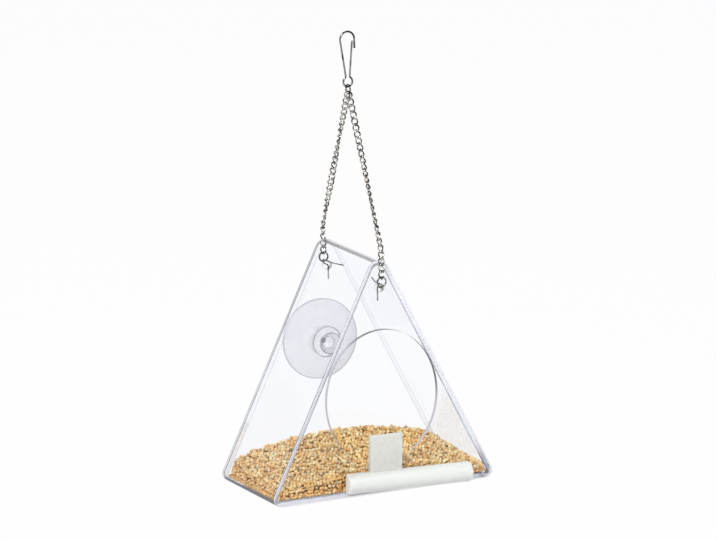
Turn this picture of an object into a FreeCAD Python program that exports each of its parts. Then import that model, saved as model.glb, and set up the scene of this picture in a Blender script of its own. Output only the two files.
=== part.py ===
"""Hanging window bird feeder: a triangular clear acrylic house with a round feeding opening,
a clip-on perch, a suction cup on its back and two curb chains that meet under a wire snap clip.
Millimetres, +Z up, front towards -Y, origin at the middle of the house's underside."""
import FreeCAD, Part
import math
import os
from FreeCAD import Placement, Rotation, Vector

# House: one acrylic strip bent to a triangle, closed by a front and a back panel
house_width = 151.0
house_height = 148.0
house_depth = 78.0
sheet = 3.0
floor_bend_radius = 5.0
ridge_bend_radius = 7.5
seam_gap = 0.3
cement_film = 0.05

# Openings in the two panels
lip_height = 18.5
opening_top_drop = 43.5
opening_web = 3.5
anchor_hole_diameter = 6.0
anchor_hole_drop = 16.5
cup_hole_diameter = 8.0
cup_hole_height = 81.0

# Suction cup, turned about its own axis
cup_diameter = 52.0
cup_reach = 11.5
cup_boss_diameter = 20.0
cup_boss_length = 3.6
cup_head_diameter = 14.0
cup_head_rim = 2.2
cup_head_dome = 2.6
cup_rim_thickness = 0.9
cup_rim_flat = 1.6
cup_hollow = 6.0
cup_bulge = 1.6
cup_clearance = 0.1
cup_end_float = 0.15

# Clip-on perch
perch_length = 86.0
perch_offset = 16.0
perch_tilt = 2.0
perch_bar_height = 12.5
perch_bar_depth = 8.0
perch_bar_drop = 3.7
perch_nose = 5.0
perch_end_round = 1.0
tab_width = 22.0
tab_thickness = 3.0
tab_rise = 19.5
hook_width = 14.0
hook_depth = 9.0
hook_thickness = 2.2
hook_bridge = 5.0
perch_clearance = 0.3
lip_clearance = 0.2

# Heap of seed on the floor
seed_front_crown = 17.0
seed_front_edge = 8.0
seed_back_crown = 25.0
seed_back_edge = 13.5
seed_lump_height = 1.7
seed_lump_pitch = 7.8
seed_lump_skew = 0.35
seed_lump_stray = 2.0
seed_lump_samples = 3
seed_clearance = 0.3
seed_pocket_clearance = 0.6

# Curb chain
chain_wire = 1.0
link_length = 6.3
link_width = 4.5
link_twist = 90.0
link_gap = 0.2
hang_links = 4
lean_links = 24
chain_levels = 5
links_per_level = 5
front_chain_turn = -180.0
back_chain_turn = -360.0
chain_standoff = 0.3
link_spans = 4

# Jump rings at both ends of the chains
ring_diameter = 7.0
ring_wire = 1.1
ring_slit = 0.3
ring_gap = 0.2

# Split pins that hold the chains to the panels
pin_wire = 0.9
pin_ring_gap = 0.15
pin_hole_gap = 0.1
pin_short_tail = 9.0
pin_long_tail = 12.0
pin_tail_splay = 3.5
pin_tail_gap = 0.4
pin_tail_bend = 1.0
pin_splay_bend = 3.0

# Wire snap clip
clip_wire_diameter = 1.2
clip_height = 36.0
clip_width = 10.9
clip_eye_diameter = 7.4
clip_neck_bend = 1.6
clip_eye_open = 40.0
clip_leg_lean = 8.2
clip_hook_tail = 6.0
clip_gate_drop = 1.2
clip_gate_gap = 0.35

# Limits of the constructions below
shortest_run = 0.001
tangent_step = 0.0001
halvings = 60

half_depth = house_depth / 2
inner_half_depth = half_depth - sheet
strip_half_depth = inner_half_depth - cement_film
side_run = house_width / 2 - floor_bend_radius
side_rise = house_height - ridge_bend_radius - floor_bend_radius
side_length = math.hypot(side_run, side_rise)
bend_step = (floor_bend_radius - ridge_bend_radius) / side_length
wall_length = side_length * math.sqrt(1 - bend_step ** 2)
wall_out = (side_rise * wall_length / side_length - side_run * bend_step) / side_length
wall_up = (side_run * wall_length / side_length + side_rise * bend_step) / side_length
opening_height = house_height - lip_height - opening_top_drop
opening_z = lip_height + opening_height / 2
ridge_centre_z = house_height - ridge_bend_radius
opening_reach = (ridge_centre_z - opening_z) * wall_up + ridge_bend_radius - opening_web
opening_width = 2 * math.sqrt(opening_reach ** 2 - (opening_height / 2 * wall_up) ** 2) / wall_out
anchor_hole_z = house_height - anchor_hole_drop
link_half_length = (link_length - chain_wire) / 2
link_half_width = (link_width - chain_wire) / 2
link_overlap = chain_wire + link_gap
link_pitch = 2 * link_half_length - link_overlap
ring_radius = (ring_diameter - ring_wire) / 2
hook_reach = (chain_wire + ring_wire) / 2 + ring_gap
hook_radius = ring_radius - hook_reach
anchor_y = half_depth + chain_standoff + link_width / 2
pin_fold = (ring_wire + pin_wire) / 2 + pin_ring_gap
pin_z = anchor_hole_z + anchor_hole_diameter / 2 - pin_hole_gap - pin_wire / 2 - pin_fold
anchor_ring_z = pin_z + ring_radius
first_joint_z = anchor_ring_z + hook_radius + link_overlap / 2
eye_radius = (clip_eye_diameter - clip_wire_diameter) / 2
Y_AXIS = Vector(0, 1, 0)


def rounded_triangle(inset):
    """Outline of the house in the XZ plane: three bends joined by straight walls, moved in by inset."""
    right = Vector(wall_out, 0, wall_up)
    left = Vector(-wall_out, 0, wall_up)
    down = Vector(0, 0, -1)
    bends = [
        (Vector(side_run, 0, floor_bend_radius), floor_bend_radius, down, right),
        (Vector(0, 0, ridge_centre_z), ridge_bend_radius, right, left),
        (Vector(-side_run, 0, floor_bend_radius), floor_bend_radius, left, down),
    ]
    arcs = []
    for centre, radius, before, after in bends:
        middle = (before + after).normalize()
        arcs.append([centre + direction * (radius - inset) for direction in (before, middle, after)])
    edges = []
    for index, (start, middle, end) in enumerate(arcs):
        following = arcs[(index + 1) % len(arcs)][0]
        edges.append(Part.Arc(start, middle, end).toShape())
        edges.append(Part.LineSegment(end, following).toShape())
    return Part.Wire(edges)


def triangle_prism(inset, start, end):
    """The house outline carried from y = start to y = end."""
    prism = Part.Face(rounded_triangle(inset)).extrude(Y_AXIS * (end - start))
    prism.translate(Y_AXIS * start)
    return prism


def opening_prism(inset, start, end):
    """The feeding opening's oval carried from y = start to y = end, moved in by inset."""
    half_width = opening_width / 2 - inset
    half_height = opening_height / 2 - inset
    oval = Part.Ellipse(Vector(), max(half_width, half_height), min(half_width, half_height)).toShape()
    if half_height > half_width:
        oval.rotate(Vector(), Vector(0, 0, 1), 90)
    oval.rotate(Vector(), Vector(1, 0, 0), 90)
    prism = Part.Face(Part.Wire(oval)).extrude(Y_AXIS * (end - start))
    prism.translate(Vector(0, start, opening_z))
    return prism


def panel_hole(diameter, height, start):
    """A round hole through one panel whose lower y face is at start."""
    return Part.makeCylinder(diameter / 2, sheet, Vector(0, start, height), Y_AXIS)


def wrap_panel():
    """Floor and both roof walls: one strip, bent three times, with its butt seam beside the right bend."""
    strip = triangle_prism(0, -strip_half_depth, strip_half_depth)
    strip = strip.cut(triangle_prism(sheet, -half_depth, half_depth))
    seam = Part.makeBox(seam_gap, 2 * strip_half_depth, 2 * sheet)
    seam.translate(Vector(side_run - seam_gap, -strip_half_depth, -sheet / 2))
    return strip.cut(seam)


def front_panel():
    """Front panel with the feeding opening and the hole for the chain's split pin."""
    panel = triangle_prism(0, -half_depth, -inner_half_depth)
    panel = panel.cut(opening_prism(0, -half_depth, -inner_half_depth))
    return panel.cut(panel_hole(anchor_hole_diameter, anchor_hole_z, -half_depth))


def back_panel():
    """Back panel with the hole for the suction cup's neck and the hole for the chain's split pin."""
    panel = triangle_prism(0, inner_half_depth, half_depth)
    panel = panel.cut(panel_hole(cup_hole_diameter, cup_hole_height, inner_half_depth))
    return panel.cut(panel_hole(anchor_hole_diameter, anchor_hole_z, inner_half_depth))


def cap_middle(radius, depth):
    """Middle of the arc from a round cap's crown to its edge, as radius and fall from the crown."""
    sphere = (radius ** 2 + depth ** 2) / (2 * depth)
    half_angle = math.asin(radius / sphere) / 2
    return sphere * math.sin(half_angle), sphere * (1 - math.cos(half_angle))


def suction_cup():
    """Soft cup turned in one piece: head inside the panel, neck in the hole, boss and bell outside."""
    neck = cup_hole_diameter / 2 - cup_clearance
    head = cup_head_diameter / 2
    boss = cup_boss_diameter / 2
    rim = cup_diameter / 2
    hollow = rim - cup_rim_flat
    head_face = inner_half_depth - cup_end_float
    head_edge = head_face - cup_head_rim
    boss_face = half_depth + cup_end_float
    bell_start = boss_face + cup_boss_length
    rim_face = half_depth + cup_reach
    bell_end = rim_face - cup_rim_thickness
    bell_middle = Vector((boss + rim) / 2, (bell_start + bell_end) / 2 - cup_bulge, 0)
    tip = Vector(0, head_edge - cup_head_dome, 0)
    roof = Vector(0, rim_face - cup_hollow, 0)
    head_middle = tip + Vector(*cap_middle(head, cup_head_dome))
    hollow_middle = roof + Vector(*cap_middle(hollow, cup_hollow))
    corners = [(head, head_edge), (head, head_face), (neck, head_face), (neck, boss_face), (boss, boss_face),
               (boss, bell_start)]
    corners = [Vector(radius, y, 0) for radius, y in corners]
    edges = [Part.Arc(tip, head_middle, corners[0]).toShape()]
    edges += [Part.LineSegment(a, b).toShape() for a, b in zip(corners, corners[1:])]
    edges.append(Part.Arc(corners[-1], bell_middle, Vector(rim, bell_end, 0)).toShape())
    edges.append(Part.LineSegment(Vector(rim, bell_end, 0), Vector(rim, rim_face, 0)).toShape())
    edges.append(Part.LineSegment(Vector(rim, rim_face, 0), Vector(hollow, rim_face, 0)).toShape())
    edges.append(Part.Arc(Vector(hollow, rim_face, 0), hollow_middle, roof).toShape())
    edges.append(Part.LineSegment(roof, tip).toShape())
    cup = Part.Face(Part.Wire(edges)).revolve(Vector(), Y_AXIS, 360)
    cup.translate(Vector(0, 0, cup_hole_height))
    return cup


def perch():
    """One frosted moulding: a D-section bar, a tab above it and a hook that straddles the front lip."""
    back = -half_depth - perch_clearance
    front = back - perch_bar_depth
    top = lip_height - perch_bar_drop
    bottom = top - perch_bar_height
    left = perch_offset - perch_length / 2
    shoulder = front + perch_nose
    outline = [
        Part.LineSegment(Vector(left, back, bottom), Vector(left, back, top)).toShape(),
        Part.LineSegment(Vector(left, back, top), Vector(left, shoulder, top)).toShape(),
        Part.Arc(Vector(left, shoulder, top), Vector(left, front, (top + bottom) / 2),
                 Vector(left, shoulder, bottom)).toShape(),
        Part.LineSegment(Vector(left, shoulder, bottom), Vector(left, back, bottom)).toShape(),
    ]
    bar = Part.Face(Part.Wire(outline)).extrude(Vector(perch_length, 0, 0))
    end_edges = [edge for edge in bar.Edges if edge.BoundBox.XLength < perch_end_round]
    bar = bar.makeFillet(perch_end_round, end_edges)

    tab = Part.makeBox(tab_width, tab_thickness, lip_height + tab_rise - bottom)
    tab.translate(Vector(-tab_width / 2, back - tab_thickness, bottom))
    slot_back = -inner_half_depth + perch_clearance
    hook_back = slot_back + hook_thickness
    hook = Part.makeBox(hook_width, hook_back - back, hook_depth + hook_bridge)
    hook.translate(Vector(-hook_width / 2, back, lip_height - hook_depth))
    for piece in (bar, tab, hook):
        piece.rotate(Vector(0, 0, lip_height), Y_AXIS, perch_tilt)
    slot = Part.makeBox(2 * tab_width, slot_back - back, opening_height)
    slot.translate(Vector(-tab_width, back, lip_height - hook_depth - sheet))
    slot = slot.cut(opening_prism(lip_clearance, back, slot_back))
    return bar.fuse([tab, hook.cut(slot)]).removeSplitter()


def seed_height(x, y):
    """Top of the heap: crowned across, rising to the back, with low lumps where two sets of waves cross."""
    back_share = (y + inner_half_depth) / (2 * inner_half_depth)
    fall = (2 * x / house_width) ** 2
    front = seed_front_crown - (seed_front_crown - seed_front_edge) * fall
    back = seed_back_crown - (seed_back_crown - seed_back_edge) * fall
    wave = math.pi * math.sqrt(2) / seed_lump_pitch
    strayed_x = x + seed_lump_stray * math.sin(y / seed_lump_pitch)
    strayed_y = y + seed_lump_stray * math.sin(x / seed_lump_pitch)
    rows = math.sin(wave * (strayed_x + seed_lump_skew * strayed_y))
    files = math.sin(wave * (strayed_y - seed_lump_skew * strayed_x))
    return front * (1 - back_share) + back * back_share + seed_lump_height / 2 * rows * files


def seed_bed():
    """Heap of seed on the floor: one lumpy top face carried down and trimmed by the walls and the perch's hook."""
    step = seed_lump_pitch / seed_lump_samples
    columns = math.ceil(house_width / step)
    rows = math.ceil(house_depth / step)
    points = []
    for column in range(columns + 1):
        x = house_width * (column / columns - 1 / 2)
        ys = [house_depth * (row / rows - 1 / 2) for row in range(rows + 1)]
        points.append([Vector(x, y, seed_height(x, y)) for y in ys])
    top = Part.BSplineSurface()
    top.interpolate(points)
    heap = top.toShape().extrude(Vector(0, 0, -house_height))
    ends = inner_half_depth - seed_clearance
    heap = heap.common(triangle_prism(sheet + seed_clearance, -ends, ends))
    pocket_back = -inner_half_depth + perch_clearance + hook_thickness + seed_pocket_clearance
    pocket = Part.makeBox(hook_width + 2 * seed_pocket_clearance, pocket_back + half_depth, house_height)
    pocket_bottom = lip_height - hook_depth - seed_pocket_clearance
    pocket.translate(Vector(-hook_width / 2 - seed_pocket_clearance, -half_depth, pocket_bottom))
    pocket.rotate(Vector(0, 0, lip_height), Y_AXIS, perch_tilt)
    return heap.cut(pocket)


def tube(edges, start, direction, diameter):
    """Round wire swept along joined lines and arcs that begin at start."""
    section = Part.Wire(Part.Circle(start, direction, diameter / 2).toShape())
    return Part.Wire(edges).makePipeShell([section], True, False)


def rounded_path(points, radii):
    """Straight runs between the points, with one tangent arc of its own radius at each inner point."""
    edges = []
    last = points[0]
    for before, corner, after, radius in zip(points, points[1:], points[2:], radii):
        arriving = (corner - before).normalize()
        leaving = (after - corner).normalize()
        half_turn = arriving.getAngle(leaving) / 2
        setback = radius * math.tan(half_turn)
        start = corner - arriving * setback
        end = corner + leaving * setback
        inward = (leaving - arriving).normalize()
        middle = corner + inward * (radius / math.cos(half_turn) - radius)
        if (start - last).Length > shortest_run:
            edges.append(Part.LineSegment(last, start).toShape())
        edges.append(Part.Arc(start, middle, end).toShape())
        last = end
    edges.append(Part.LineSegment(last, points[-1]).toShape())
    return edges


def jump_ring(centre, normal, slit):
    """Open wire ring round the normal, with its slit on the side that slit points to."""
    section = Part.Face(Part.Wire(Part.Circle(Vector(ring_radius, 0, 0), Y_AXIS, ring_wire / 2).toShape()))
    slit_angle = math.degrees(ring_slit / ring_radius)
    ring = section.revolve(Vector(), Vector(0, 0, 1), 360 - slit_angle)
    ring.Placement = Placement(centre, Rotation(slit, normal.cross(slit), normal, "ZXY"))
    return ring


def split_pin(side):
    """Wire folded double round the anchor ring, both legs through the panel's hole, the tails spread inside."""
    upper = pin_z + pin_fold
    lower = pin_z - pin_fold
    outer = side * (anchor_y + pin_fold)
    short_y = side * (inner_half_depth - pin_tail_gap - pin_wire / 2)
    long_y = short_y - side * pin_splay_bend
    points = [
        Vector(pin_tail_splay, long_y - side * pin_long_tail, upper),
        Vector(0, long_y, upper),
        Vector(0, outer, upper),
        Vector(0, outer, lower),
        Vector(0, short_y, lower),
        Vector(0, short_y, lower - pin_short_tail),
    ]
    edges = rounded_path(points, [pin_splay_bend, pin_fold, pin_fold, pin_tail_bend])
    return tube(edges, points[0], points[1] - points[0], pin_wire)


def biarc(start, start_way, end, end_way):
    """Two tangent arcs from start to end that leave and arrive along the given unit directions."""
    chord = end - start
    ways = start_way + end_way
    spread = 2 * (1 - start_way.dot(end_way))
    along = chord.dot(ways)
    reach = (math.sqrt(along ** 2 + spread * chord.dot(chord)) - along) / spread
    meeting = (start + start_way * reach + end - end_way * reach) / 2
    arcs = []
    for origin, way, swap in ((start, start_way, False), (end, end_way * -1, True)):
        run = meeting - origin
        length = run.Length
        unit = run / length
        bulge = way - unit * way.dot(unit)
        rise = length / 2 * math.tan(way.getAngle(run) / 2)
        middle = origin + run / 2 + bulge.normalize() * rise
        ends = (meeting, origin) if swap else (origin, meeting)
        arcs.append(Part.Arc(ends[0], middle, ends[1]).toShape())
    return arcs


def link_point(angle):
    """Centre line of a curb link: an oval whose plane turns with height, by half the twist at each end."""
    turn = math.radians(link_twist) / 2 * (math.cos(angle) - 1)
    out = link_half_width * math.sin(angle)
    return Vector(out * math.cos(turn), out * math.sin(turn), link_half_length * math.cos(angle))


def curb_link():
    """One closed twisted link along Z, its upper end wire along X: two equal halves joined into a ring."""
    angles = [math.pi * k / link_spans for k in range(link_spans + 1)]
    points = [link_point(angle) for angle in angles]
    ways = [(link_point(angle + tangent_step) - link_point(angle - tangent_step)).normalize() for angle in angles]
    edges = []
    for k in range(link_spans):
        edges += biarc(points[k], ways[k], points[k + 1], ways[k + 1])
    half = tube(edges, points[0], ways[0], chain_wire)
    other = half.copy()
    other.rotate(Vector(), Vector(0, 0, 1), 180)
    return half.fuse(other).removeSplitter().Solids[0]


def lean_error(lean):
    """How far short of the feeder's middle plane the chain ends when its long run leans by this angle."""
    rows = math.sin(lean / 2) + lean_links * math.sin(lean)
    return anchor_y - link_pitch * rows - (link_overlap / 2 + hook_radius) * math.sin(lean)


def chain_lean():
    """Lean of the long run, found by halving, that brings both chains to the middle of the top ring."""
    low, high = 0.0, math.pi / 2
    for step in range(halvings):
        middle = (low + high) / 2
        if lean_error(middle) > 0:
            low = middle
        else:
            high = middle
    return low


def chain_joints(side):
    """Points where the links meet, from the anchor ring up: a hanging run, one bend link, the leaning run."""
    joints = [Vector(0, side * anchor_y, first_joint_z)]
    for lean in [0.0] * hang_links + [chain_lean_angle / 2] + [chain_lean_angle] * lean_links:
        joints.append(joints[-1] + Vector(0, -side * math.sin(lean), math.cos(lean)) * link_pitch)
    return joints


def chain_links(side, whole_turn):
    """Every link of one chain, from the anchor ring up, with the slow turn of the whole chain."""
    joints = chain_joints(side)
    link = curb_link()
    links = []
    for index, (low, high) in enumerate(zip(joints, joints[1:])):
        way = (high - low).normalize()
        across = Vector(1, 0, 0)
        upright = Rotation(across, way.cross(across), way, "ZXY")
        turned = Rotation(Vector(0, 0, 1), whole_turn * index / (len(joints) - 2))
        placed = link.copy()
        placed.Placement = Placement((low + high) / 2, upright.multiply(turned))
        links.append(placed)
    return links


def chain_runs(links):
    """The chain's links in level order from the top; the lowest run takes the links that are left."""
    runs = []
    last = len(links)
    for level in range(chain_levels - 1):
        runs.append(Part.makeCompound(links[last - links_per_level:last]))
        last -= links_per_level
    runs.append(Part.makeCompound(links[:last]))
    return runs


def clip_arc(centre, radius, start, end):
    """Start, middle and end of an arc in the clip's XZ plane, between two angles in degrees from +X."""
    angles = [math.radians(angle) for angle in (start, (start + end) / 2, end)]
    return [centre + Vector(math.cos(angle), 0, math.sin(angle)) * radius for angle in angles]


def clip_points(eye):
    """Key arcs of the clip above its eye centre: gate-side neck, eye, leg-side neck and top bend."""
    necks = [90 - clip_eye_open, 90 + clip_eye_open]
    centres = [clip_arc(eye, eye_radius + clip_neck_bend, angle, angle)[0] for angle in necks]
    gate_neck = clip_arc(centres[0], clip_neck_bend, 180, 180 + necks[0])
    loop = clip_arc(eye, eye_radius, necks[0], necks[1] - 360)
    leg_neck = clip_arc(centres[1], clip_neck_bend, 180 + necks[1], 360 + clip_leg_lean)
    lean = math.radians(clip_leg_lean)
    bend = (clip_width - clip_wire_diameter) / 2
    bend_z = eye.z - clip_eye_diameter / 2 + clip_height - clip_width / 2
    leg_top_z = bend_z - bend * math.sin(lean)
    leg_top_x = leg_neck[2].x - (leg_top_z - leg_neck[2].z) * math.tan(lean)
    top = Vector(leg_top_x + bend * math.cos(lean), 0, bend_z)
    return gate_neck, loop, leg_neck, clip_arc(top, bend, 180 + clip_leg_lean, 0), top


def clip_wire(eye):
    """Bent wire body of the clip: eye, long leg, top bend and hook tail, in one tube."""
    gate_neck, loop, leg_neck, bend, top = clip_points(eye)
    tail = bend[2] - Vector(0, 0, clip_hook_tail)
    edges = [Part.Arc(*points).toShape() for points in (gate_neck, loop, leg_neck)]
    edges.append(Part.LineSegment(leg_neck[2], bend[0]).toShape())
    edges.append(Part.Arc(*bend).toShape())
    edges.append(Part.LineSegment(bend[2], tail).toShape())
    return tube(edges, gate_neck[0], Vector(0, 0, -1), clip_wire_diameter)


def clip_gate(eye):
    """Sprung leg of the clip, from just above the gate-side neck to the inside of the hook tail."""
    gate_neck, loop, leg_neck, bend, top = clip_points(eye)
    foot = gate_neck[0] + Vector(0, 0, clip_gate_gap)
    tip = Vector(bend[2].x - clip_wire_diameter - clip_gate_gap, 0, top.z - clip_gate_drop)
    return Part.makeCylinder(clip_wire_diameter / 2, (tip - foot).Length, foot, tip - foot)


chain_lean_angle = chain_lean()
joints = chain_joints(1)
top_ring_z = joints[-1].z + (link_overlap / 2 + hook_radius) * math.cos(chain_lean_angle)
eye_bottom_z = top_ring_z + ring_radius - (ring_wire + clip_wire_diameter) / 2 - ring_gap
eye_centre = Vector(0, 0, eye_bottom_z + eye_radius)

parts = {
    "wrap_panel": wrap_panel(),
    "front_panel": front_panel(),
    "back_panel": back_panel(),
    "suction_cup": suction_cup(),
    "perch": perch(),
    "seed_bed": seed_bed(),
    "top_ring": jump_ring(Vector(0, 0, top_ring_z), Vector(1, 0, 0), Y_AXIS),
    "clip_wire": clip_wire(eye_centre),
    "clip_gate": clip_gate(eye_centre),
}
for end, side, whole_turn in (("front", -1, front_chain_turn), ("back", 1, back_chain_turn)):
    ring_centre = Vector(0, side * anchor_y, anchor_ring_z)
    parts[end + "_anchor_ring"] = jump_ring(ring_centre, Y_AXIS, Vector(1, 0, 0))
    parts[end + "_split_pin"] = split_pin(side)
    for level, run in enumerate(chain_runs(chain_links(side, whole_turn)), 1):
        parts["%s_chain_%d" % (end, level)] = run

os.makedirs("parts", exist_ok=True)
for name, shape in parts.items():
    shape.exportStep("parts/%s.step" % name)

print("lean of the chains %.2f degrees, top ring %.2f, eye bottom wire %.2f" % (
    math.degrees(chain_lean_angle), top_ring_z, eye_bottom_z))
gate_foot = clip_points(eye_centre)[0][0]
print("clip gate pivot x %.3f z %.3f" % (gate_foot.x, gate_foot.z + clip_gate_gap / 2))
print("pins at z %.3f, clip top %.2f" % (pin_z, eye_centre.z - clip_eye_diameter / 2 + clip_height))
levels = [hang_links + 1 + lean_links - links_per_level * k for k in range(chain_levels)]
print("chain joints from the top:", ", ".join("%.3f" % joints[k].z for k in levels))
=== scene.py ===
import math
import bpy
import numpy as np
from mathutils import Matrix


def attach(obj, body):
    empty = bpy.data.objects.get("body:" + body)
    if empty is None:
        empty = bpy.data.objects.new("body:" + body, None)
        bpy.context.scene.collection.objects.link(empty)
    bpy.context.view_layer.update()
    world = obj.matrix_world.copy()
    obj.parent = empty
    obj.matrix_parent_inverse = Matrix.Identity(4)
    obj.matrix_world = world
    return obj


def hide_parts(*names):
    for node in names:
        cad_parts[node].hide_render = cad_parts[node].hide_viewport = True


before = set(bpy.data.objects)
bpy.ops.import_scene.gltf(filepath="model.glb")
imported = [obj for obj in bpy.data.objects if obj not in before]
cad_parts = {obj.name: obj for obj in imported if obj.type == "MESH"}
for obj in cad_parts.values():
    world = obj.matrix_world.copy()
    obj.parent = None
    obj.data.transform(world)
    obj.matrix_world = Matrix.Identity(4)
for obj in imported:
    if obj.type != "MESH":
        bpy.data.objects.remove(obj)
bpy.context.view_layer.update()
scene = bpy.context.scene


# Camera: a long lens, in front of the feeder, to its left and a little above it.
# It leans by about a degree, so the hanging chains run slightly to the left.
camera_azimuth = math.radians(-25.7)
camera_elevation = math.radians(12.84)
camera_roll = math.radians(-1.36)
camera_distance = 4.0
camera_aim = np.array((0.00137, -0.00523, 0.13607))
picture_width = 716
pixels_per_metre = 1600
frame_width = picture_width / pixels_per_metre
sensor_width = 36.0
farthest_seen = 50.0
toward_camera = np.array((math.sin(camera_azimuth) * math.cos(camera_elevation),
                          -math.cos(camera_azimuth) * math.cos(camera_elevation),
                          math.sin(camera_elevation)))
level_right = np.array((math.cos(camera_azimuth), math.sin(camera_azimuth), 0.0))
level_up = np.cross(toward_camera, level_right)
camera_right = level_right * math.cos(camera_roll) + level_up * math.sin(camera_roll)
camera_up = np.cross(toward_camera, camera_right)


def stand(thing, right, up, back, place):
    """Puts a camera or lamp in its place: its right, up and back directions and its place are a matrix's columns."""
    placed = np.eye(4)
    placed[:3, :4] = np.stack((right, up, back, place), 1)
    thing.matrix_world = Matrix(placed)
    scene.collection.objects.link(thing)


camera = bpy.data.objects.new("camera", bpy.data.cameras.new("camera"))
camera.data.sensor_width = sensor_width
camera.data.lens = sensor_width * camera_distance / frame_width
camera.data.clip_end = farthest_seen
stand(camera, camera_right, camera_up, toward_camera, camera_aim + toward_camera * camera_distance)
scene.camera = camera


# Studio: white paper on the floor some way below the hanging feeder, a pale room and three soft lamps.
# Metal mirrors the white paper and walls, a dark ceiling between the lamps and a dark gap at the front.
scene.view_settings.view_transform = "Standard"
floor_height = -0.12
floor_reach = 9.0
paper_tone = (0.80, 0.80, 0.80, 1.0)
paper_white_share = 0.96
room_tone = (1.0, 1.0, 1.0, 1.0)
room_level = 0.42
ceiling_level = 0.06
ceiling_rise = (0.22, 0.45)
front_gap_level = 0.05
front_gap_way = (-0.40, -0.90, 0.17)
front_gap_reach = (0.25, 0.70)
lamp_aim = np.array((0.0, 0.0, 0.08))
lamps = (("key_lamp", (-0.8, -1.0, 1.2), 0.6, 19.0),
         ("fill_lamp", (1.1, -0.7, 0.9), 0.8, 5.0),
         ("back_lamp", (0.3, 1.2, 1.1), 0.6, 5.0))


def feed(tree, socket, value):
    """Joins a socket to another socket, or sets it to a plain number or colour."""
    if isinstance(value, bpy.types.NodeSocket):
        tree.links.new(value, socket)
    else:
        socket.default_value = value


def smooth_step(tree, value, low, high, start, end):
    """Goes from start to end in a smooth step while the value goes from low to high."""
    step = tree.nodes.new("ShaderNodeMapRange")
    step.interpolation_type = "SMOOTHSTEP"
    names = ("Value", "From Min", "From Max", "To Min", "To Max")
    for name, number in zip(names, (value, low, high, start, end)):
        feed(tree, step.inputs[name], number)
    return step.outputs["Result"]


def reckon(tree, operation, first, second=0.0):
    """One sum on two values, or on the first alone where the sum needs only one."""
    sum_node = tree.nodes.new("ShaderNodeMath")
    sum_node.operation = operation
    feed(tree, sum_node.inputs[0], first)
    feed(tree, sum_node.inputs[1], second)
    return sum_node.outputs[0]


def times(tree, first, second):
    """The product of two values."""
    return reckon(tree, "MULTIPLY", first, second)


def larger(tree, first, second):
    """The larger of two values."""
    return reckon(tree, "MAXIMUM", first, second)


def mix_numbers(tree, share, first, second):
    """The first number where the share is nought, the second where it is one."""
    mix = tree.nodes.new("ShaderNodeMix")
    for socket, value in zip((0, 2, 3), (share, first, second)):
        feed(tree, mix.inputs[socket], value)
    return mix.outputs[0]


def mix_shaders(tree, share, first, second):
    """The first shader where the share is nought, the second where it is one."""
    mix = tree.nodes.new("ShaderNodeMixShader")
    feed(tree, mix.inputs[0], share)
    tree.links.new(first.outputs[0], mix.inputs[1])
    tree.links.new(second.outputs[0], mix.inputs[2])
    return mix


def parts_of(tree, vector):
    """The three parts of a vector, along x, y and z."""
    parts = tree.nodes.new("ShaderNodeSeparateXYZ")
    tree.links.new(vector, parts.inputs[0])
    return parts.outputs


def seen_share(tree):
    """Two shares: one for rays from the camera, one for rays off a glossy surface or through a clear one."""
    path = tree.nodes.new("ShaderNodeLightPath")
    mirrored = larger(tree, path.outputs["Is Glossy Ray"], path.outputs["Is Transmission Ray"])
    return path.outputs["Is Camera Ray"], mirrored


def new_material(name):
    """An empty node material; gives the material and its node tree."""
    material = bpy.data.materials.new(name)
    material.use_nodes = True
    material.node_tree.nodes.clear()
    return material, material.node_tree


def show(tree, shader):
    """Makes a shader the surface of its material."""
    tree.links.new(shader.outputs[0], tree.nodes.new("ShaderNodeOutputMaterial").inputs["Surface"])


world = bpy.data.worlds.new("room")
scene.world = world
world.use_nodes = True
tree = world.node_tree
tree.nodes.clear()
from_camera, mirrored = seen_share(tree)
direction = tree.nodes.new("ShaderNodeTexCoord").outputs["Generated"]
ceiling = smooth_step(tree, parts_of(tree, direction)["Z"], *ceiling_rise, 1.0, ceiling_level)
front = tree.nodes.new("ShaderNodeVectorMath")
front.operation = "DOT_PRODUCT"
front.inputs[1].default_value = front_gap_way
tree.links.new(direction, front.inputs[0])
front_gap = smooth_step(tree, front.outputs["Value"], *front_gap_reach, 1.0, front_gap_level)
room = mix_numbers(tree, mirrored, room_level, times(tree, ceiling, front_gap))
background = tree.nodes.new("ShaderNodeBackground")
background.inputs["Color"].default_value = room_tone
tree.links.new(mix_numbers(tree, from_camera, room, 1.0), background.inputs["Strength"])
tree.links.new(background.outputs[0], tree.nodes.new("ShaderNodeOutputWorld").inputs["Surface"])

floor_mesh = bpy.data.meshes.new("floor")
floor_corners = [(x * floor_reach, y * floor_reach, floor_height) for x, y in ((-1, -1), (1, -1), (1, 1), (-1, 1))]
floor_mesh.from_pydata(floor_corners, [], [(0, 1, 2, 3)])
floor = bpy.data.objects.new("floor", floor_mesh)
scene.collection.objects.link(floor)
paper, tree = new_material("white_paper")
from_camera, mirrored = seen_share(tree)
matt = tree.nodes.new("ShaderNodeBsdfDiffuse")
matt.inputs["Color"].default_value = paper_tone
lit = tree.nodes.new("ShaderNodeEmission")
show(tree, mix_shaders(tree, times(tree, larger(tree, from_camera, mirrored), paper_white_share), matt, lit))
floor_mesh.materials.append(paper)

for lamp_name, place, size, watts in lamps:
    lamp = bpy.data.objects.new(lamp_name, bpy.data.lights.new(lamp_name, "AREA"))
    lamp.data.size = size
    lamp.data.energy = watts
    back = np.array(place) - lamp_aim
    back /= np.linalg.norm(back)
    side = np.cross((0.0, 0.0, 1.0), back)
    side /= np.linalg.norm(side)
    stand(lamp, side, np.cross(back, side), back, place)


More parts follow.
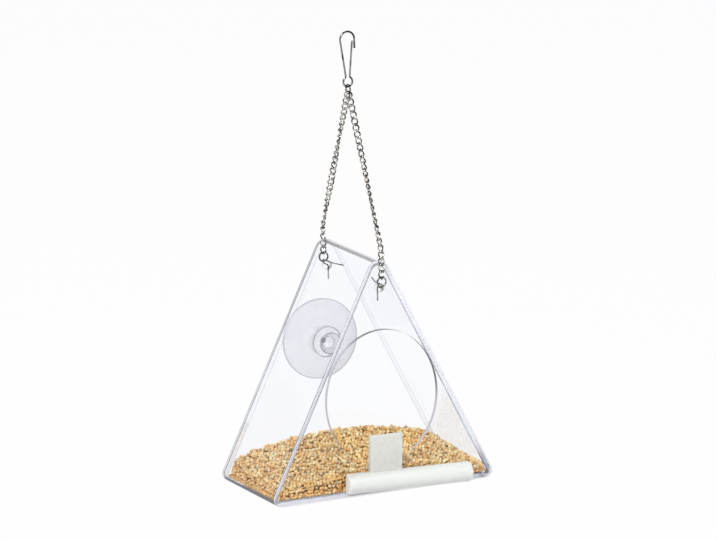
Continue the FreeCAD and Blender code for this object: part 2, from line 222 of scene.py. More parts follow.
# House: three pieces of clear acrylic sheet, one bent strip and two sawn triangles, cemented edge to edge.
# The faces are polished and nearly invisible, the sawn edges show as pale bands with grey borders, and the hot bends
# carry painted dark edges near their outline, standing in for the dark room a clear bend refracts.
sheet = 0.003
inner_depth = 0.036
wall_foot = 0.07859
wall_slope = 0.4997
wall_lean = math.hypot(1.0, wall_slope)
opening_height = 0.0615
opening_half = (0.03825, 0.0430)
foot_bend = (0.0705, 0.005)
ridge_bend_height = 0.1405
cup_height = 0.081
plastic_ior = 1.49
polished_tone = (0.93, 0.945, 1.0, 1.0)
sheet_passing = (0.990, 0.992, 0.999, 1.0)
cloud_tone = (0.94, 0.95, 0.99, 1.0)
sawn_turn = (0.3, 0.7)
clear_faces_in_line = 24
scene.cycles.transparent_max_bounces = clear_faces_in_line


def mix_tones(tree, share, first, second):
    """The first colour where the share is nought, the second where it is one."""
    mix = tree.nodes.new("ShaderNodeMix")
    mix.data_type = "RGBA"
    for socket, value in zip((0, 6, 7), (share, first, second)):
        feed(tree, mix.inputs[socket], value)
    return mix.outputs[2]


def minus(tree, first, second):
    """The first value less the second."""
    return reckon(tree, "SUBTRACT", first, second)


def rest_of(tree, share):
    """What a share leaves of one."""
    return minus(tree, 1.0, share)


def sum_of_squares(tree, first, second):
    """The squares of two values, added."""
    return reckon(tree, "ADD", times(tree, first, first), times(tree, second, second))


def met_inside(tree):
    """One where light meets a face from within the solid."""
    return tree.nodes.new("ShaderNodeNewGeometry").outputs["Backfacing"]


def own_place(tree):
    """Object coordinates, which stay with the piece as it moves."""
    return tree.nodes.new("ShaderNodeTexCoord").outputs["Object"]


def outward(tree):
    """The outward normal in the piece's own axes: the same from both sides, so it is turned round from within."""
    scaled = tree.nodes.new("ShaderNodeVectorMath")
    scaled.operation = "SCALE"
    tree.links.new(tree.nodes.new("ShaderNodeTexCoord").outputs["Normal"], scaled.inputs[0])
    tree.links.new(rest_of(tree, times(tree, met_inside(tree), 2.0)), scaled.inputs["Scale"])
    return scaled.outputs[0]


def from_cup_axis(tree, spot):
    """Distance from the suction cup's axis, which runs along y: the root of x squared and height squared."""
    return reckon(tree, "SQRT", sum_of_squares(tree, spot["X"], minus(tree, spot["Z"], cup_height)))


def fine_noise(tree, place, scale, detail):
    """Noise on object coordinates."""
    noise = tree.nodes.new("ShaderNodeTexNoise")
    noise.inputs["Scale"].default_value = scale
    noise.inputs["Detail"].default_value = detail
    tree.links.new(place, noise.inputs["Vector"])
    return noise.outputs["Fac"]


def part_clear(tree, cover, body, passing_tone):
    """Puts a body over clear passage: as much of the body as the cover says, the rest lets light through."""
    passing = tree.nodes.new("ShaderNodeBsdfTransparent")
    passing.inputs["Color"].default_value = passing_tone
    show(tree, mix_shaders(tree, cover, passing, body))


def slant_of(tree, normal=None):
    """How slanted a surface is seen: nought straight on, one along the surface."""
    slant = tree.nodes.new("ShaderNodeLayerWeight")
    slant.inputs["Blend"].default_value = 0.5
    if normal is not None:
        tree.links.new(normal, slant.inputs["Normal"])
    return slant.outputs["Facing"]


def face_mirror(tree):
    """Share of light that a polished face mirrors: little straight on, rising with the fifth power of the slant."""
    straight_on, along = 0.015, 0.45
    return reckon(tree, "ADD", times(tree, reckon(tree, "POWER", slant_of(tree), 5.0), along), straight_on)


def in_world(tree, direction):
    """A direction given in the piece's own axes, turned as the piece is turned."""
    turned = tree.nodes.new("ShaderNodeVectorTransform")
    turned.vector_type = "NORMAL"
    turned.convert_from = "OBJECT"
    turned.convert_to = "WORLD"
    feed(tree, turned.inputs[0], direction)
    return turned.outputs[0]


def rod_edge(tree, out):
    """How near its outline a round that runs along y is seen: nought in its middle, one on its outline. The slant
    is taken across the round alone, so the dark edges of the clear round are as wide from any side, as on a rod:
    one less a quotient, the straightness of the way out over the root of one less the squared straightness of y."""
    just_over_one = 1.0001
    toward = rest_of(tree, slant_of(tree, in_world(tree, out)))
    lengthwise = rest_of(tree, slant_of(tree, in_world(tree, (0.0, 1.0, 0.0))))
    across = reckon(tree, "SQRT", minus(tree, just_over_one, times(tree, lengthwise, lengthwise)))
    return rest_of(tree, reckon(tree, "DIVIDE", toward, across))


def sawn_cover(tree, line, left_within):
    """How much a sawn edge covers: more along its border lines, less where it is met from within the sheet."""
    plain, lined = 0.80, 0.97
    within = mix_numbers(tree, met_inside(tree), 1.0, left_within)
    return times(tree, mix_numbers(tree, line, plain, lined), within)


def outer_only(tree):
    """One where light meets a face from outside: a sawn edge is matt there, and mirrors from within the sheet."""
    return rest_of(tree, met_inside(tree))


def acrylic(tree, tone, dull, cover):
    """Polished sheet in a tone, its faces bright mirrors under their cover and matt where dull is one."""
    polished, sanded = 0.02, 0.35
    body = tree.nodes.new("ShaderNodeBsdfPrincipled")
    body.inputs["IOR"].default_value = plastic_ior
    tree.links.new(tone, body.inputs["Base Color"])
    tree.links.new(rest_of(tree, dull), body.inputs["Metallic"])
    tree.links.new(mix_numbers(tree, dull, polished, sanded), body.inputs["Roughness"])
    part_clear(tree, cover, body, sheet_passing)


def sawn_tone(tree, place, line, pale, grey):
    """Tone of a sawn edge: pale with grey border lines, clouded by a slow noise."""
    cloud = smooth_step(tree, fine_noise(tree, place, scale=90.0, detail=2.0), 0.35, 0.65, 0.0, 0.25)
    return mix_tones(tree, cloud, mix_tones(tree, line, pale, grey), cloud_tone)


def panel_sheet():
    """Sawn triangle: its edges look away from y, grey along the cemented border and thinly along the other, which
    fades high up at the front; the back's left edge carries painted shade, more so high up. The rim of the opening,
    found from its ellipse, is grey and carries a painted dark reflection where it looks down and to the left. The
    cup's hole stays clear."""
    pale_edge, grey_line = (0.95, 0.96, 1.0, 1.0), (0.16, 0.17, 0.20, 1.0)
    grey_rim, rim_painted_reflection = (0.60, 0.60, 0.65, 1.0), (0.05, 0.05, 0.06, 1.0)
    painted_shade_edge = (0.22, 0.22, 0.23, 1.0)
    cemented_part = (0.25 * sheet, 0.45 * sheet)
    free_border = (0.72 * sheet, 0.87 * sheet)
    front_to_back = (-0.01, 0.01)
    left_to_right = (-0.004, 0.004)
    rim_reach = (1.02, 1.05)
    painted_reflection_reach, sideways_weight = (0.35, 0.85), 0.6
    upper_part = (0.070, 0.100)
    faded_share = 0.5
    low_shade, high_shade = 0.15, 0.60
    lip_heights, lip_cover, full_rim_cover = (0.022, 0.034), 0.25, 0.95
    hole_edge, hole_cover = (0.0045, 0.0050), 0.08
    kept_within = 0.35

    material, tree = new_material("panel_acrylic")
    place = own_place(tree)
    spot, normal = parts_of(tree, place), parts_of(tree, outward(tree))
    sawn = smooth_step(tree, reckon(tree, "ABSOLUTE", normal["Y"]), *sawn_turn, 1.0, 0.0)
    in_sheet = minus(tree, reckon(tree, "ABSOLUTE", spot["Y"]), inner_depth)
    cemented = smooth_step(tree, in_sheet, *cemented_part, 1.0, 0.0)
    border = smooth_step(tree, in_sheet, *free_border, 0.0, 0.9)
    at_front = smooth_step(tree, spot["Y"], *front_to_back, 1.0, 0.0)
    up = reckon(tree, "DIVIDE", minus(tree, spot["Z"], opening_height), opening_half[1])
    out = reckon(tree, "DIVIDE", spot["X"], opening_half[0])
    rim = times(tree, at_front, smooth_step(tree, sum_of_squares(tree, up, out), *rim_reach, 1.0, 0.0))
    line = larger(tree, rim, larger(tree, cemented, border))

    toward_right = reckon(tree, "ADD", up, times(tree, out, sideways_weight))
    # painted dark reflection on the rim where it looks down and to the left
    rim_tone = mix_tones(tree, smooth_step(tree, toward_right, *painted_reflection_reach, 0.0, 1.0), grey_rim, rim_painted_reflection)
    high = smooth_step(tree, spot["Z"], *upper_part, 0.0, 1.0)
    faded = mix_numbers(tree, times(tree, high, at_front), 1.0, faded_share)
    edge_tone = sawn_tone(tree, place, times(tree, line, faded), pale_edge, grey_line)
    # painted shade on the back panel's left sawn edge, stronger high up
    back_left = times(tree, rest_of(tree, at_front), smooth_step(tree, spot["X"], *left_to_right, 1.0, 0.0))
    shade = times(tree, back_left, mix_numbers(tree, high, low_shade, high_shade))
    edge_tone = mix_tones(tree, shade, edge_tone, painted_shade_edge)
    edge_tone = mix_tones(tree, rim, edge_tone, rim_tone)
    tone = mix_tones(tree, sawn, polished_tone, edge_tone)

    rim_cover = smooth_step(tree, spot["Z"], *lip_heights, lip_cover, full_rim_cover)
    edge_cover = mix_numbers(tree, rim, sawn_cover(tree, line, kept_within), rim_cover)
    cup_hole = minus(tree, smooth_step(tree, from_cup_axis(tree, spot), *hole_edge, 1.0, 0.0), at_front)
    edge_cover = mix_numbers(tree, larger(tree, cup_hole, 0.0), edge_cover, hole_cover)
    dull = times(tree, sawn, larger(tree, rim, outer_only(tree)))
    acrylic(tree, tone, dull, mix_numbers(tree, sawn, face_mirror(tree), edge_cover))
    return material


def strip_sheet():
    """Bent strip: its sawn ends look along y, with a grey line along the inner border, found from the depth under
    the sloping outline, and are darker at the right foot. The outer rounds of the bends carry a painted dark tone
    near their outline, standing in for the dark edges that a clear rod refracts, and the ridge's painted line pales
    again on the outline itself. The underside mirrors the seed back when it is met from within the sheet."""
    pale_end, grey_line = (0.90, 0.91, 0.96, 1.0), (0.40, 0.41, 0.47, 1.0)
    foot_grey, foot_dark_line = (0.30, 0.28, 0.34, 1.0), (0.07, 0.06, 0.09, 1.0)
    bend_painted_dark = (0.05, 0.04, 0.07, 1.0)
    inner_border = (0.66 * sheet, 0.80 * sheet)
    right_foot_start, right_foot_share = (0.0635, 0.0715), 0.85
    ridge_start, ridge_facing = (0.1430, 0.1440), (0.0, 0.1)
    foot_top, foot_facing = (0.0066, 0.0074), (0.0, 0.004)
    foot_darkens = (0.142, 0.351)
    ridge_darkens, ridge_pales, ridge_levels = (0.17, 0.24), (0.26, 0.62), (0.86, 0.10)
    below_ridge, above_floor = (0.1385, 0.1400), (0.0001, 0.0002)
    looks_down = (-0.99, -0.95)
    underside_share = 0.8
    kept_within = 0.3
    bend_cover = 0.93

    material, tree = new_material("strip_acrylic")
    place = own_place(tree)
    spot, normal = parts_of(tree, place), parts_of(tree, outward(tree))
    sawn = smooth_step(tree, reckon(tree, "ABSOLUTE", normal["Y"]), *sawn_turn, 0.0, 1.0)
    slope = reckon(tree, "ADD", reckon(tree, "ABSOLUTE", spot["X"]), times(tree, spot["Z"], wall_slope))
    under_wall = reckon(tree, "DIVIDE", minus(tree, wall_foot, slope), wall_lean)
    under_skin = reckon(tree, "MINIMUM", under_wall, spot["Z"])
    line = smooth_step(tree, under_skin, *inner_border, 0.0, 1.0)
    edge_tone = sawn_tone(tree, place, line, pale_end, grey_line)
    right_foot = smooth_step(tree, spot["X"], *right_foot_start, 0.0, right_foot_share)
    edge_tone = mix_tones(tree, right_foot, edge_tone, mix_tones(tree, line, foot_grey, foot_dark_line))

    upper = reckon(tree, "GREATER_THAN", spot["Z"], ridge_bend_height / 2)
    foot_x = times(tree, reckon(tree, "SIGN", spot["X"]), foot_bend[0])
    out = tree.nodes.new("ShaderNodeCombineXYZ")
    tree.links.new(minus(tree, spot["X"], mix_numbers(tree, upper, foot_x, 0.0)), out.inputs["X"])
    bend_z = mix_numbers(tree, upper, foot_bend[1], ridge_bend_height)
    tree.links.new(minus(tree, spot["Z"], bend_z), out.inputs["Z"])
    ridge = times(tree, smooth_step(tree, spot["Z"], *ridge_start, 0.0, 1.0),
                  smooth_step(tree, normal["Z"], *ridge_facing, 0.0, 1.0))
    foot = times(tree, smooth_step(tree, times(tree, spot["X"], normal["X"]), *foot_facing, 0.0, 1.0),
                 smooth_step(tree, spot["Z"], *foot_top, 1.0, 0.0))
    bend = times(tree, larger(tree, ridge, foot), rest_of(tree, sawn))
    tone = mix_tones(tree, sawn, polished_tone, edge_tone)
    # painted dark tone on the outer rounds of the bends, standing in for the dark edges a clear bend refracts
    tone = mix_tones(tree, bend, tone, bend_painted_dark)

    near_outline = rod_edge(tree, out.outputs[0])
    foot_line = smooth_step(tree, near_outline, *foot_darkens, 0.0, 1.0)
    ridge_line = times(tree, smooth_step(tree, near_outline, *ridge_darkens, 0.0, 1.0),
                       smooth_step(tree, near_outline, *ridge_pales, *ridge_levels))
    # the painted dark edges show near the bends' outline
    dark = times(tree, bend, mix_numbers(tree, upper, foot_line, ridge_line))
    between = times(tree, smooth_step(tree, spot["Z"], *below_ridge, 1.0, 0.0),
                    smooth_step(tree, spot["Z"], *above_floor, 0.0, 1.0))
    facing_down = smooth_step(tree, normal["Z"], *looks_down, 1.0, 0.0)
    underside = times(tree, met_inside(tree), minus(tree, facing_down, upper))
    mirror = larger(tree, times(tree, face_mirror(tree), between), times(tree, underside, underside_share))
    cover = mix_numbers(tree, sawn, mirror, sawn_cover(tree, line, kept_within))
    dull = larger(tree, times(tree, sawn, outer_only(tree)), bend)
    acrylic(tree, tone, dull, mix_numbers(tree, dark, cover, bend_cover))
    return material


def wear(node, material):
    """Gives a CAD node its one material."""
    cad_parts[node].data.materials.clear()
    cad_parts[node].data.materials.append(material)


panel_acrylic = panel_sheet()
wear("wrap_panel", strip_sheet())
wear("front_panel", panel_acrylic)
wear("back_panel", panel_acrylic)


# Suction cup: one soft clear moulding, its head buttoned through the back panel.
# The bell is thin and slightly cloudy, with a thicker rim, and greyer where it is seen at a slant.
def soft_clear():
    """Cloudy clear moulding: a slow noise in its haze and gloss, flow marks in the thick hub, more cover with the
    square of the slant and along the bell's rim, painted dark lines at the front corners of head and boss, where a
    clear moulding's edges look dark, and more cover at the gate mark in the hollow."""
    bell_tone, hub_tone = (0.33, 0.33, 0.41, 1.0), (0.16, 0.16, 0.20, 1.0)
    cup_passing = (0.975, 0.976, 0.988, 1.0)
    cup_ior = 1.45
    rim_start, rim_share = (0.0252, 0.0256), 0.30
    hub_edge = (0.0100, 0.0115)
    bell_slant, hub_slant = 0.44, 0.30
    haze_levels, flow_levels = (0.06, 0.09), (0.02, 0.13)
    front_corners = ((0.007, 0.03365), (0.010, 0.03915))
    corner_reach, painted_line_share = (0.0005, 0.0009), 0.55
    gate_reach, gate_share = (0.0010, 0.0026), 0.80
    hollow_start = (0.040, 0.042)
    gloss_levels = (0.15, 0.35)

    material, tree = new_material("soft_clear")
    place = own_place(tree)
    spot = parts_of(tree, place)
    cloud = fine_noise(tree, place, scale=160.0, detail=2.0)
    from_axis = from_cup_axis(tree, spot)
    rim = smooth_step(tree, from_axis, *rim_start, 0.0, rim_share)
    hub = smooth_step(tree, from_axis, *hub_edge, 1.0, 0.0)
    turned = times(tree, reckon(tree, "POWER", slant_of(tree), 2.0), mix_numbers(tree, hub, bell_slant, hub_slant))
    flow = smooth_step(tree, fine_noise(tree, place, scale=230.0, detail=1.0), 0.40, 0.58, *flow_levels)
    haze = mix_numbers(tree, hub, smooth_step(tree, cloud, 0.3, 0.7, *haze_levels), flow)
    # painted dark lines at the front corners of head and boss
    for corner_radius, corner_depth in front_corners:
        from_corner = larger(tree, reckon(tree, "ABSOLUTE", minus(tree, from_axis, corner_radius)),
                             reckon(tree, "ABSOLUTE", minus(tree, spot["Y"], corner_depth)))
        haze = larger(tree, haze, smooth_step(tree, from_corner, *corner_reach, painted_line_share, 0.0))
    gate_mark = times(tree, smooth_step(tree, from_axis, *gate_reach, gate_share, 0.0),
                      smooth_step(tree, spot["Y"], *hollow_start, 0.0, 1.0))
    cover = reckon(tree, "ADD", larger(tree, haze, gate_mark), larger(tree, rim, turned))
    body = tree.nodes.new("ShaderNodeBsdfPrincipled")
    tree.links.new(mix_tones(tree, hub, bell_tone, hub_tone), body.inputs["Base Color"])
    body.inputs["IOR"].default_value = cup_ior
    tree.links.new(smooth_step(tree, cloud, 0.2, 0.8, *gloss_levels), body.inputs["Roughness"])
    part_clear(tree, cover, body, cup_passing)
    return material


wear("suction_cup", soft_clear())


# Perch: one frosted moulding, hooked over the lip of the feeding opening.
# Its skin is fine-grained, and the thin tab carries a faint painted seed colour, standing in for the seed seen
# through it.
def frosted_plastic():
    """Milky plastic: short scattering under a skin with a fine noise in its tone, gloss and height; the tab is
    mottled with painted seed colour by a soft noise as coarse as the grains behind it, standing in for the seed seen
    through it."""
    dim_milk, bright_milk = (0.77, 0.79, 0.77, 1.0), (0.84, 0.855, 0.835, 1.0)
    painted_seed_colour, painted_seed_levels = (0.52, 0.51, 0.44, 1.0), (0.42, 0.56)
    tab_start = (0.012, 0.016)
    tab_fade, tab_left = (0.018, 0.032), 0.70
    scatter_share, scatter_depth, scatter_tint = 0.4, 0.004, (1.0, 1.0, 0.95)
    gloss_levels = (0.38, 0.58)
    skin_strength, skin_height = 0.15, 0.0002

    material, tree = new_material("frosted_plastic")
    place = own_place(tree)
    spot = parts_of(tree, place)
    grain = fine_noise(tree, place, scale=700.0, detail=4.0)
    # painted seed colour on the tab, standing in for the seed seen through it
    behind = smooth_step(tree, fine_noise(tree, place, scale=330.0, detail=1.0), 0.35, 0.7, *painted_seed_levels)
    tab = times(tree, smooth_step(tree, spot["Z"], *tab_start, 0.0, 1.0),
                smooth_step(tree, spot["Z"], *tab_fade, 1.0, tab_left))
    milk = mix_tones(tree, grain, dim_milk, bright_milk)
    milk = mix_tones(tree, times(tree, behind, tab), milk, painted_seed_colour)
    body = tree.nodes.new("ShaderNodeBsdfPrincipled")
    body.inputs["IOR"].default_value = plastic_ior
    body.inputs["Subsurface Weight"].default_value = scatter_share
    body.inputs["Subsurface Scale"].default_value = scatter_depth
    body.inputs["Subsurface Radius"].default_value = scatter_tint
    tree.links.new(milk, body.inputs["Base Color"])
    tree.links.new(smooth_step(tree, grain, 0.2, 0.8, *gloss_levels), body.inputs["Roughness"])
    skin = tree.nodes.new("ShaderNodeBump")
    skin.inputs["Strength"].default_value = skin_strength
    skin.inputs["Distance"].default_value = skin_height
    tree.links.new(grain, skin.inputs["Height"])
    tree.links.new(skin.outputs["Normal"], body.inputs["Normal"])
    show(tree, body)
    return material


wear("perch", frosted_plastic())


# Split pins, anchor rings, curb chains, top ring and snap clip: steel wire, bent to shape and nickel plated.
# The plate is bright, with painted reflections in light and dark patches, and each part is painted to its own
# brightness, as lit and shaded copies of one plate: palest on the chain, greyer on the clip's gate, darker on rings
# and pins, and darkest on the clip's spring wire.
wire_patches, chain_patches = 150.0, 430.0


def nickel_plate(name, patch_scale, deep_tone, light_tone):
    """Bright plate: patches of a slow noise shift its tone from deep to light, as painted reflections of a dark and
    a bright room, and a fine noise its gloss.
    """
    patch_limits, gloss_levels = (0.36, 0.64), (0.07, 0.22)
    material, tree = new_material(name)
    place = own_place(tree)
    # painted reflections: patches of a dark and a bright room
    patch = smooth_step(tree, fine_noise(tree, place, patch_scale, detail=1.0), *patch_limits, 0.0, 1.0)
    gloss = smooth_step(tree, fine_noise(tree, place, scale=900.0, detail=3.0), 0.2, 0.8, *gloss_levels)
    body = tree.nodes.new("ShaderNodeBsdfPrincipled")
    body.inputs["Metallic"].default_value = 1.0
    tree.links.new(mix_tones(tree, patch, deep_tone, light_tone), body.inputs["Base Color"])
    tree.links.new(gloss, body.inputs["Roughness"])
    show(tree, body)
    return material


# each part's deep and light tones are painted brightness, shaded copies of one nickel plate
wire_nickel = nickel_plate("wire_nickel", wire_patches, (0.04, 0.04, 0.04, 1.0), (0.34, 0.33, 0.32, 1.0))
chain_nickel = nickel_plate("chain_nickel", chain_patches, (0.09, 0.085, 0.08, 1.0), (0.66, 0.63, 0.60, 1.0))
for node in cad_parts:
    if node.endswith(("_ring", "_pin")):
        wear(node, wire_nickel)
    elif "_chain_" in node:
        wear(node, chain_nickel)
wear("clip_wire", nickel_plate("spring_nickel", wire_patches, (0.03, 0.03, 0.03, 1.0), (0.25, 0.25, 0.24, 1.0)))
wear("clip_gate", nickel_plate("gate_nickel", wire_patches, (0.20, 0.20, 0.20, 1.0), (0.42, 0.42, 0.41, 1.0)))


# Seed: loose millet poured on the floor, higher at the back, each grain an egg of rather over two millimetres.
# It lies in low lumps, and a core under the grains keeps the light from shining between them; its darker brown is
# painted shade between the grains.
seed_rng = np.random.default_rng(11)
grain_pitch = 0.00232
grain_radius = 0.00116
grain_clearance = 0.00005
grain_widths, grain_depths, grain_lengths = (0.93, 1.06), (0.88, 1.00), (1.00, 1.14)
house_width = 0.151
floor_half = 0.073
floor_top = sheet
first_row = floor_top + 0.001
seed_limit = 0.026
wall_inset = sheet * wall_lean
hook_half, hook_front, hook_foot = 0.0088, -0.0318, 0.0075
egg_sides, egg_rings, egg_bluntness = 6, 3, 0.10
husk_tones = np.array(((0.96, 0.69, 0.33), (1.00, 0.83, 0.51), (0.92, 0.60, 0.24), (0.84, 0.50, 0.17),
                       (0.60, 0.30, 0.09), (0.24, 0.12, 0.04)))
husk_shares = (0.34, 0.20, 0.27, 0.14, 0.04, 0.01)
husk_brightness = (0.66, 1.14)
tip_start, tip_shade = 0.9, 0.60
# painted light on the top grains and painted shade on the grains along the walls and floor
top_painted_light, side_painted_shade = (1.06, 1.04, 1.02), (0.95, 0.82, 0.66)


def heap_top(x, y):
    """Height of the heap: a parabola across the front and one across the back, joined by straight lines in y,
    with low lumps where two sets of sine waves cross at right angles, bent a little out of line."""
    front_middle, front_drop = 0.017, 0.009
    back_middle, back_drop = 0.025, 0.0115
    pitch, stray, skew, lump_height = 0.0078, 0.002, 0.35, 0.00085
    fall = (2 * x / house_width) ** 2
    back_share = (y + inner_depth) / (2 * inner_depth)
    front = front_middle - front_drop * fall
    back = back_middle - back_drop * fall
    wave = math.pi * math.sqrt(2) / pitch
    strayed_x = x + stray * np.sin(y / pitch)
    strayed_y = y + stray * np.sin(x / pitch)
    lumps = np.sin(wave * (strayed_x + skew * strayed_y)) * np.sin(wave * (strayed_y - skew * strayed_x))
    return front * (1 - back_share) + back * back_share + lump_height * lumps


def wall_x(z):
    """Half width between the inner faces of the sloping walls at height z."""
    return wall_foot - wall_slope * z - wall_inset


def hex_points(u_range, v_range, jitter):
    """Points of a triangular lattice over a rectangle, each moved by a random step of at most jitter."""
    rows = np.arange(v_range[0], v_range[1], grain_pitch * math.sqrt(3) / 2)
    columns = np.arange(u_range[0], u_range[1], grain_pitch)
    u, v = np.meshgrid(columns, rows)
    u = u + (np.arange(len(rows)) % 2)[:, None] * grain_pitch / 2
    points = np.stack((u.ravel(), v.ravel()), 1)
    return points + seed_rng.uniform(-jitter, jitter, points.shape)


def inside_heap(points):
    """Keeps grain centres between the walls, over the floor and clear of the perch's hook."""
    x, y, z = points.T
    inside = (np.abs(x) < wall_x(z)) & (np.abs(y) < inner_depth) & (z > floor_top)
    hook = (np.abs(x) < hook_half) & (y < hook_front) & (z > hook_foot)
    return points[inside & ~hook]


def unit_egg():
    """Points of one egg, blunt at one end, and its four-sided and three-sided faces: rings of radius sin(t) times
    (1 - bluntness cos(t)) at height cos(t), then the two poles."""
    t, a = np.meshgrid(np.linspace(0.0, math.pi, egg_rings + 2)[1:-1],
                       np.arange(egg_sides) * 2 * math.pi / egg_sides, indexing="ij")
    waist = np.sin(t) * (1 - egg_bluntness * np.cos(t))
    egg = np.stack((waist * np.cos(a), waist * np.sin(a), np.cos(t)), 2).reshape(-1, 3)
    tip = len(egg)
    egg = np.concatenate((egg, [(0.0, 0.0, 1.0), (0.0, 0.0, -1.0)]))
    ring = np.arange(egg_sides)
    after = (ring + 1) % egg_sides
    band = np.stack((ring, egg_sides + ring, egg_sides + after, after), 1)
    quads = np.concatenate([band + egg_sides * b for b in range(egg_rings - 1)])
    last = tip - egg_sides
    caps = np.concatenate((np.stack((np.full(egg_sides, tip), ring, after), 1),
                           np.stack((np.full(egg_sides, tip + 1), last + after, last + ring), 1)))
    return egg, quads, caps


def turn_matrices(spin):
    """Rotation matrices from quaternions, one in each row, brought to unit length."""
    w, i, j, k = (spin / np.linalg.norm(spin, axis=1)[:, None]).T
    return np.stack((1 - 2 * (j * j + k * k), 2 * (i * j - k * w), 2 * (i * k + j * w),
                     2 * (i * j + k * w), 1 - 2 * (i * i + k * k), 2 * (j * k - i * w),
                     2 * (i * k - j * w), 2 * (j * k + i * w), 1 - 2 * (i * i + j * j)), 1).reshape(-1, 3, 3)


def millet(name, centres, painted_light_tint):
    """Grains from one unit egg, scaled, turned at random, moved to each centre and pushed back inside the house's
    walls and floor; one colour per grain, times the layer's painted brightness (painted light on top, painted shade
    along the walls and floor), darker at the pointed end."""
    egg, quads, caps = unit_egg()
    count = len(centres)
    size = grain_radius * np.stack([seed_rng.uniform(*sizes, count)
                                    for sizes in (grain_widths, grain_depths, grain_lengths)], 1)
    turn = turn_matrices(seed_rng.normal(size=(count, 4)))
    points = np.einsum("nij,nvj->nvi", turn, egg[None] * size[:, None]) + centres[:, None]
    across = np.array((1.0, 0.0, wall_slope)) / wall_lean
    wall_limit = (wall_foot - wall_inset) / wall_lean
    for outward_way, limit in ((across, wall_limit), (across * (-1, 1, 1), wall_limit),
                               (np.array((0.0, 1.0, 0.0)), inner_depth), (np.array((0.0, -1.0, 0.0)), inner_depth),
                               (np.array((0.0, 0.0, -1.0)), -floor_top)):
        past = np.maximum((points @ outward_way).max(1) - limit + grain_clearance, 0.0)
        points -= past[:, None, None] * outward_way
    steps = np.arange(count)[:, None, None] * len(egg)
    faces = (quads + steps).reshape(-1, 4).tolist() + (caps + steps).reshape(-1, 3).tolist()
    mesh = bpy.data.meshes.new(name)
    mesh.from_pydata(points.reshape(-1, 3), [], faces)
    mesh.polygons.foreach_set("use_smooth", np.ones(len(mesh.polygons), bool))

    pick = seed_rng.choice(len(husk_tones), count, p=husk_shares)
    colour = husk_tones[pick] * painted_light_tint * seed_rng.uniform(*husk_brightness, (count, 1))
    shade = np.where(egg[:, 2] > tip_start, tip_shade, 1.0)
    colours = np.clip(colour[:, None] * shade[None, :, None], 0.0, 1.0)
    colours = np.concatenate((colours, np.ones((count, len(egg), 1))), 2)
    layer = mesh.attributes.new("grain_colour", "FLOAT_COLOR", "POINT")
    layer.data.foreach_set("color", colours.ravel().astype(np.float32))
    grains = bpy.data.objects.new(name, mesh)
    scene.collection.objects.link(grains)
    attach(grains, "house")
    return grains


def millet_skin():
    """Dry glossy husk: the grain's own colour, mottled by a fine noise that also roughens it."""
    mottle_levels, gloss_levels = (0.80, 1.12), (0.22, 0.42)
    material, tree = new_material("millet_husk")
    own = tree.nodes.new("ShaderNodeAttribute")
    own.attribute_name = "grain_colour"
    mottle = fine_noise(tree, own_place(tree), scale=1500.0, detail=2.0)
    tone = tree.nodes.new("ShaderNodeVectorMath")
    tone.operation = "SCALE"
    tree.links.new(own.outputs["Color"], tone.inputs[0])
    tree.links.new(smooth_step(tree, mottle, 0.2, 0.8, *mottle_levels), tone.inputs["Scale"])
    body = tree.nodes.new("ShaderNodeBsdfPrincipled")
    tree.links.new(tone.outputs[0], body.inputs["Base Color"])
    tree.links.new(smooth_step(tree, mottle, 0.2, 0.8, *gloss_levels), body.inputs["Roughness"])
    show(tree, body)
    return material


husk = millet_skin()
across_floor, along_floor = (-floor_half, floor_half), (-inner_depth, inner_depth)
up_walls = (first_row, seed_limit)
top_jitter, side_jitter, floor_jitter = 0.0006, 0.0008, 0.0004
top_layers = ((0.0007, 0.0006), (0.0025, 0.0005))
xy = hex_points(across_floor, along_floor, top_jitter)
top = []
for sink, spread in top_layers:
    z = heap_top(xy[:, 0], xy[:, 1]) - sink + seed_rng.uniform(-spread, spread, len(xy))
    top.append(inside_heap(np.column_stack((xy, z))))
    xy = xy + np.array((grain_pitch / 2, grain_pitch / 3))
top_grains = millet("seed_top", np.concatenate(top), top_painted_light)
top_grains.data.materials.append(husk)

panel_rows = (-inner_depth + 0.0010, -inner_depth + 0.0030, inner_depth - 0.0010)
row_spread = 0.0005
wall_gap = 0.0011
top_layer_depth = 0.0008
sides = []
for y in panel_rows:
    xz = hex_points(across_floor, up_walls, side_jitter)
    sunk = np.full(len(xz), y) - np.sign(y) * seed_rng.uniform(0, row_spread, len(xz))
    sides.append(np.column_stack((xz[:, 0], sunk, xz[:, 1])))
for side in (-1, 1):
    yz = hex_points(along_floor, up_walls, side_jitter)
    x = side * (wall_x(yz[:, 1]) - wall_gap - seed_rng.uniform(0, row_spread, len(yz)))
    sides.append(np.column_stack((x, yz)))
xy = hex_points(across_floor, along_floor, floor_jitter)
sides.append(np.column_stack((xy, first_row + seed_rng.uniform(0, row_spread, len(xy)))))
sides = inside_heap(np.concatenate(sides))
sides = sides[sides[:, 2] < heap_top(sides[:, 0], sides[:, 1]) - top_layer_depth]
side_grains = millet("seed_sides", sides, side_painted_shade)
side_grains.data.materials.append(husk)


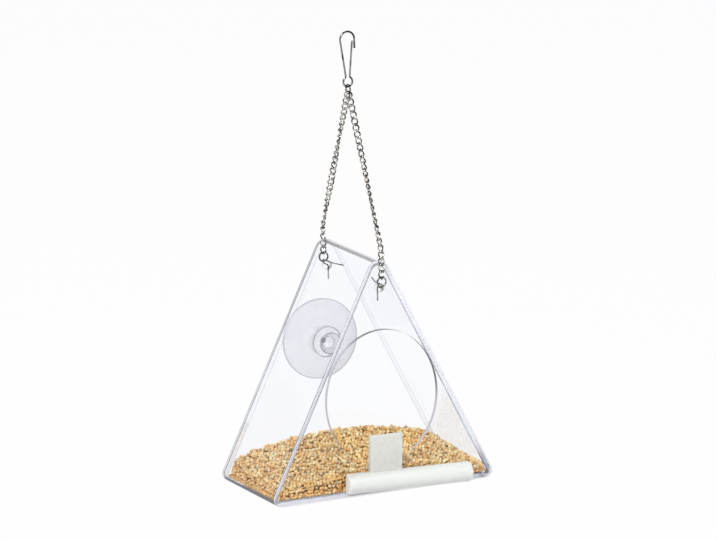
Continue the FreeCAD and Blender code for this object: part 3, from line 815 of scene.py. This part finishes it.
def seed_core():
    """Closed core under the grains: a rounded outline across the house, two millimetres inside it, carried from
    front to back in rings whose top follows the heap; a fan round its middle closes the first and the last ring."""
    core_front, core_back, ring_count = -0.0305, 0.0332, 24
    points_across, sampled_half = 60, 0.062
    under_top, under_wall = 0.0036, 0.0028
    base_height, base_half = 0.0052, wall_x(0.0055) - 0.0035
    across = np.linspace(-1.0, 1.0, points_across)
    y, x = np.meshgrid(np.linspace(core_front, core_back, ring_count), across, indexing="ij")
    top_z = heap_top(x * sampled_half, y) - under_top
    upper = np.stack((x * (wall_x(top_z) - under_wall), y, top_z), 2)
    lower = np.stack((-x * base_half, y, np.full_like(y, base_height)), 2)
    rings = np.concatenate((upper, lower), 1)
    points = np.concatenate((rings.reshape(-1, 3), rings[[0, -1]].mean(1)))
    count = rings.shape[1]
    start = np.arange(count)
    after = (start + 1) % count
    steps = (np.arange(ring_count - 1) * count)[:, None, None]
    walls = np.stack((start, after, after + count, start + count), 1)[None] + steps
    last = (ring_count - 1) * count
    ends = np.concatenate((np.stack((np.full(count, len(points) - 2), after, start), 1),
                           np.stack((np.full(count, len(points) - 1), last + start, last + after), 1)))
    mesh = bpy.data.meshes.new("seed_core")
    mesh.from_pydata(points, [], walls.reshape(-1, 4).tolist() + ends.tolist())
    core = bpy.data.objects.new("seed_core", mesh)
    scene.collection.objects.link(core)
    return core


def seed_core_shade():
    """Brown painted shade between the grains, mottled by cells as coarse as the grains: darker with the distance
    from a cell's middle, as painted shade in the gaps.
    """
    near_tone, far_tone = (0.52, 0.29, 0.09, 1.0), (0.34, 0.17, 0.05, 1.0)
    cell_scale, core_roughness = 480.0, 0.8
    material, tree = new_material("seed_core_shade")
    cells = tree.nodes.new("ShaderNodeTexVoronoi")
    cells.inputs["Scale"].default_value = cell_scale
    tree.links.new(own_place(tree), cells.inputs["Vector"])
    body = tree.nodes.new("ShaderNodeBsdfPrincipled")
    body.inputs["Roughness"].default_value = core_roughness
    # painted shade: darker brown towards the gaps between cells
    tree.links.new(mix_tones(tree, cells.outputs["Distance"], near_tone, far_tone), body.inputs["Base Color"])
    show(tree, body)
    return material


core = seed_core()
core.data.materials.append(seed_core_shade())
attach(core, "house")
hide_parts("seed_bed")
